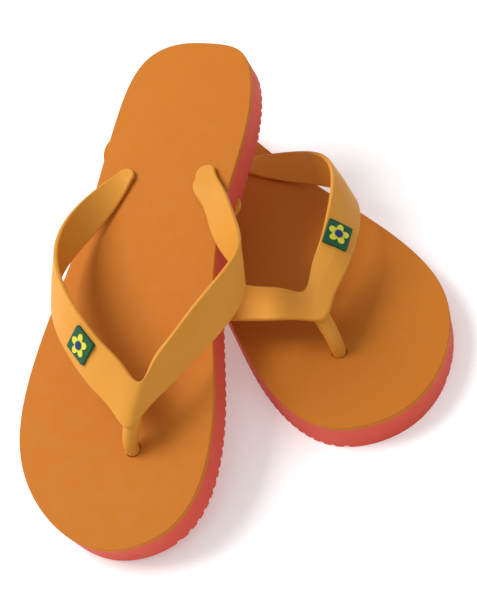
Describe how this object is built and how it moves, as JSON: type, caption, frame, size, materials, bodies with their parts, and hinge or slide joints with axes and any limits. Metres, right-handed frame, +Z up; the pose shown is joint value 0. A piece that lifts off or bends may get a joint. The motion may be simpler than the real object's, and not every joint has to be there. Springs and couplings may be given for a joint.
{
  "type": "thong sandals",
  "caption": "Pair of flat thong sandals lying crossed, one leaning on the other, with twisted rubber V straps, toe posts, flower badges and ribbed soles.",
  "frame": {"origin": "on the floor, under the middle of the pair's bounding box", "axes": "+Z up from the floor; the lower (left) sandal lies along Y with its toe towards -Y, and the upper (right) sandal points down towards -X and -Y"},
  "size_m": [0.212, 0.2656, 0.0806],
  "materials": {
    "footbed": "matt foam rubber",
    "outsole": "matt foam rubber",
    "strap": "satin moulded rubber",
    "badge_plate": "soft moulded plastic",
    "badge_flower": "soft moulded plastic",
    "badge_eye": "soft moulded plastic"
  },
  "bodies": {
    "lower_sandal": {"lower_footbed": "footbed", "lower_outsole": "outsole", "lower_strap": "strap", "lower_badge_plate": "badge_plate", "lower_badge_flower": "badge_flower", "lower_badge_eye": "badge_eye"},
    "upper_sandal": {"upper_footbed": "footbed", "upper_outsole": "outsole", "upper_strap": "strap", "upper_badge_plate": "badge_plate", "upper_badge_flower": "badge_flower", "upper_badge_eye": "badge_eye"}
  },
  "joints": [
    {"name": "lift", "type": "slide", "parent": "lower_sandal", "child": "upper_sandal", "axis": [0, 0, 1], "range_m": [0, 0.12]}
  ]
}
